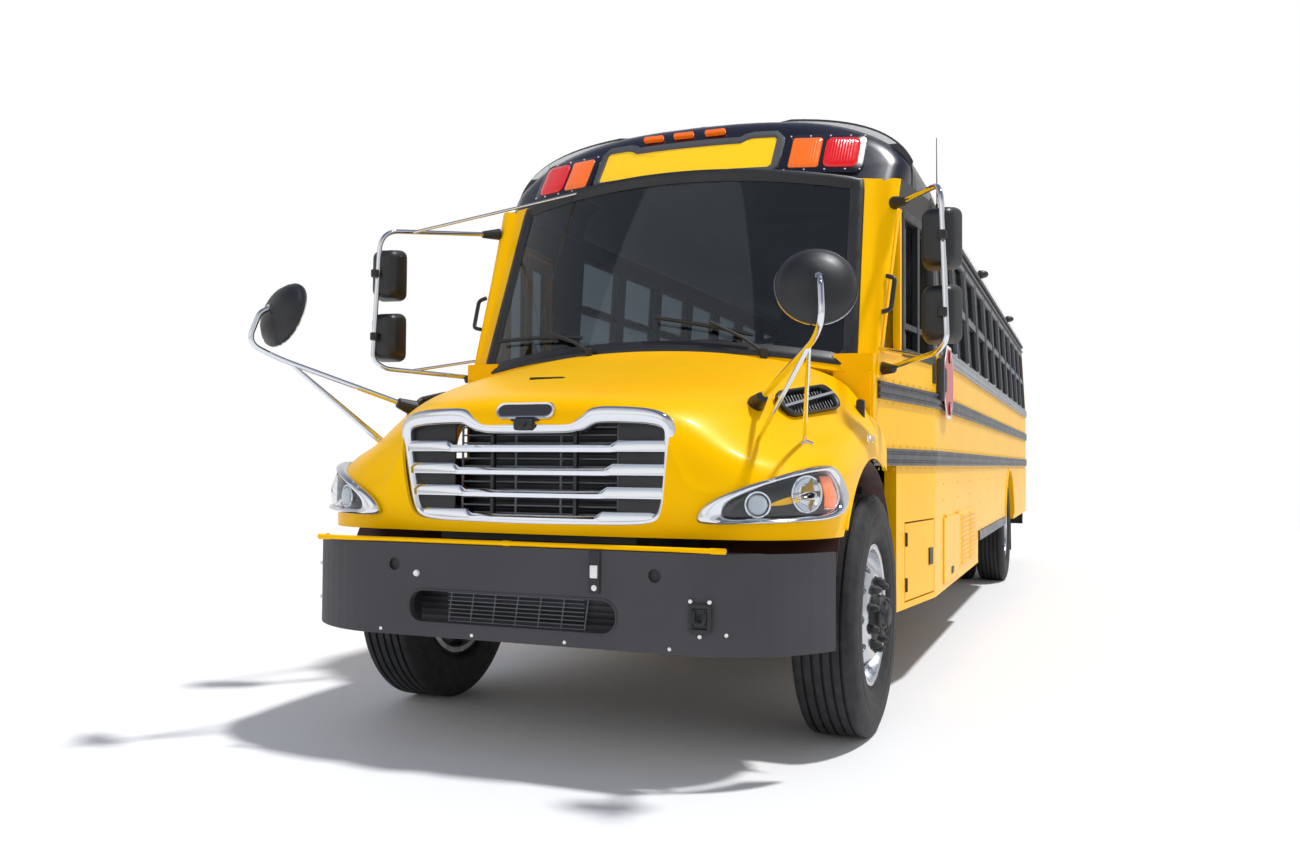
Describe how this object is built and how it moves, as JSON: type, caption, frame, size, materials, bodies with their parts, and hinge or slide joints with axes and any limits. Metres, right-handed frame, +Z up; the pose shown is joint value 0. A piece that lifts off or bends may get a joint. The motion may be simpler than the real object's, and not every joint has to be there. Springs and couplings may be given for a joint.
{
  "type": "school bus",
  "caption": "Full-size yellow school bus with a tilting hood, folding entrance door, stop arm and crossing arm, steering and rolling wheels.",
  "frame": {"origin": "on the ground, at the middle of the bus's length and width", "axes": "the bus faces -Y, its driver's side is +X, +Z is up"},
  "size_m": [3.06, 11.1999, 3.1003],
  "materials": {
    "yellow_enamel": "glossy school bus yellow enamel",
    "white_enamel": "glossy white roof enamel",
    "black_gelcoat": "glossy black moulded cap",
    "chassis_steel": "black chassis paint",
    "bumper_steel": "textured dark grey coating",
    "cast_iron": "bare casting",
    "window_glass": "tinted safety glass",
    "black_trim": "black extruded trim",
    "seat_vinyl": "dark coated seat vinyl",
    "cabin_plastic": "moulded dark plastic",
    "lamp_lens": "ribbed lens",
    "chrome": "bright plating",
    "polished_aluminium": "polished forging",
    "tyre_rubber": "black rubber",
    "hatch_plastic": "off-white moulded lid",
    "liner": "dark splash liner",
    "sign_red": "reflective red sheet"
  },
  "bodies": {
    "bus_body": {"frame_rails": "chassis_steel", "front_axle": "cast_iron", "rear_axle": "cast_iron", "driveshaft": "chassis_steel", "leaf_springs": "chassis_steel", "engine": "cast_iron", "radiator": "chassis_steel", "front_bumper": "bumper_steel", "rear_bumper": "chassis_steel", "floor": "chassis_steel", "wheel_housings": "chassis_steel", "entry_steps": "chassis_steel", "left_side": "yellow_enamel", "right_side": "yellow_enamel", "driver_section": "yellow_enamel", "door_section": "yellow_enamel", "roof": "white_enamel", "front_cap": "black_gelcoat", "rear_wall": "yellow_enamel", "cowl": "yellow_enamel", "windshield": "window_glass", "side_glass": "window_glass", "window_sashes": "black_trim", "seats": "seat_vinyl", "driver_seat": "seat_vinyl", "dashboard": "cabin_plastic", "side_trim": "black_trim", "warning_lamps": "lamp_lens", "fuel_tank": "chassis_steel", "battery_box": "chassis_steel", "arch_liners": "liner", "main_mirrors": "black_trim"},
    "hood": {"hood": "yellow_enamel", "grille": "chrome", "headlamps": "chrome", "crossview_mirrors": "black_trim"},
    "left_knuckle": {"left_knuckle": "cast_iron"},
    "right_knuckle": {"right_knuckle": "cast_iron"},
    "front_left_wheel": {"front_left_tyre": "tyre_rubber", "front_left_wheel": "polished_aluminium"},
    "front_right_wheel": {"front_right_tyre": "tyre_rubber", "front_right_wheel": "polished_aluminium"},
    "rear_left_wheels": {"rear_left_tyres": "tyre_rubber", "rear_left_wheels": "polished_aluminium"},
    "rear_right_wheels": {"rear_right_tyres": "tyre_rubber", "rear_right_wheels": "polished_aluminium"},
    "steering_wheel": {"steering_wheel": "cabin_plastic"},
    "front_door_leaf": {"front_door_leaf": "yellow_enamel", "front_door_glass": "window_glass"},
    "rear_door_leaf": {"rear_door_leaf": "yellow_enamel", "rear_door_glass": "window_glass"},
    "emergency_door": {"emergency_door": "yellow_enamel", "emergency_glass": "window_glass"},
    "battery_door": {"battery_door": "yellow_enamel"},
    "stop_arm": {"stop_arm": "sign_red"},
    "crossing_arm": {"crossing_arm": "yellow_enamel"},
    "front_hatch": {"front_hatch": "hatch_plastic"},
    "rear_hatch": {"rear_hatch": "hatch_plastic"}
  },
  "joints": [
    {"name": "hood_tilt", "type": "hinge", "parent": "bus_body", "child": "hood", "pos_m": [0, -5.335, 0.905], "axis": [1, 0, 0], "range_deg": [0, 55]},
    {"name": "left_steer", "type": "hinge", "parent": "bus_body", "child": "left_knuckle", "pos_m": [0.85, -4.35, 0.52], "axis": [0, 0, 1], "range_deg": [-38, 38]},
    {"name": "right_steer", "type": "hinge", "parent": "bus_body", "child": "right_knuckle", "pos_m": [-0.85, -4.35, 0.52], "axis": [0, 0, 1], "range_deg": [-38, 38]},
    {"name": "front_left_spin", "type": "hinge", "parent": "left_knuckle", "child": "front_left_wheel", "pos_m": [1.035, -4.35, 0.52], "axis": [1, 0, 0], "continuous": true},
    {"name": "front_right_spin", "type": "hinge", "parent": "right_knuckle", "child": "front_right_wheel", "pos_m": [-1.035, -4.35, 0.52], "axis": [1, 0, 0], "continuous": true},
    {"name": "rear_left_spin", "type": "hinge", "parent": "bus_body", "child": "rear_left_wheels", "pos_m": [0.9, 2.74, 0.52], "axis": [1, 0, 0], "continuous": true},
    {"name": "rear_right_spin", "type": "hinge", "parent": "bus_body", "child": "rear_right_wheels", "pos_m": [-0.9, 2.74, 0.52], "axis": [1, 0, 0], "continuous": true},
    {"name": "steering_turn", "type": "hinge", "parent": "bus_body", "child": "steering_wheel", "pos_m": [0.51, -3.55, 1.64], "axis": [0, 0.766, 0.6428], "range_deg": [-685, 685]},
    {"name": "front_leaf_hinge", "type": "hinge", "parent": "bus_body", "child": "front_door_leaf", "pos_m": [-1.14137, -3.58959, 1.4], "axis": [0, 0, 1], "range_deg": [0, 90]},
    {"name": "rear_leaf_hinge", "type": "hinge", "parent": "bus_body", "child": "rear_door_leaf", "pos_m": [-1.22327, -2.9226, 1.4], "axis": [0, 0, -1], "range_deg": [0, 90]},
    {"name": "emergency_hinge", "type": "hinge", "parent": "bus_body", "child": "emergency_door", "pos_m": [0.462, 5.572, 1.7], "axis": [0, 0, -1], "range_deg": [0, 110]},
    {"name": "battery_hinge", "type": "hinge", "parent": "bus_body", "child": "battery_door", "pos_m": [1.15302, -3.4947, 0.675], "axis": [0, 0, -1], "range_deg": [0, 110]},
    {"name": "stop_arm_hinge", "type": "hinge", "parent": "bus_body", "child": "stop_arm", "pos_m": [1.257, -2.796, 1.65], "axis": [0, 0, -1], "range_deg": [0, 90]},
    {"name": "crossing_hinge", "type": "hinge", "parent": "bus_body", "child": "crossing_arm", "pos_m": [-0.948, -5.456, 0.86], "axis": [0, 0, -1], "range_deg": [0, 90]},
    {"name": "front_hatch_hinge", "type": "hinge", "parent": "bus_body", "child": "front_hatch", "pos_m": [0, -1.374, 3.054], "axis": [1, 0, 0], "range_deg": [0, 60]},
    {"name": "rear_hatch_hinge", "type": "hinge", "parent": "bus_body", "child": "rear_hatch", "pos_m": [0, 2.926, 3.054], "axis": [1, 0, 0], "range_deg": [0, 60]}
  ],
  "couplings": [
    {"joint": "right_steer", "follows": "left_steer", "ratio": 1},
    {"joint": "steering_turn", "follows": "left_steer", "ratio": 18},
    {"joint": "rear_leaf_hinge", "follows": "front_leaf_hinge", "ratio": 1}
  ]
}
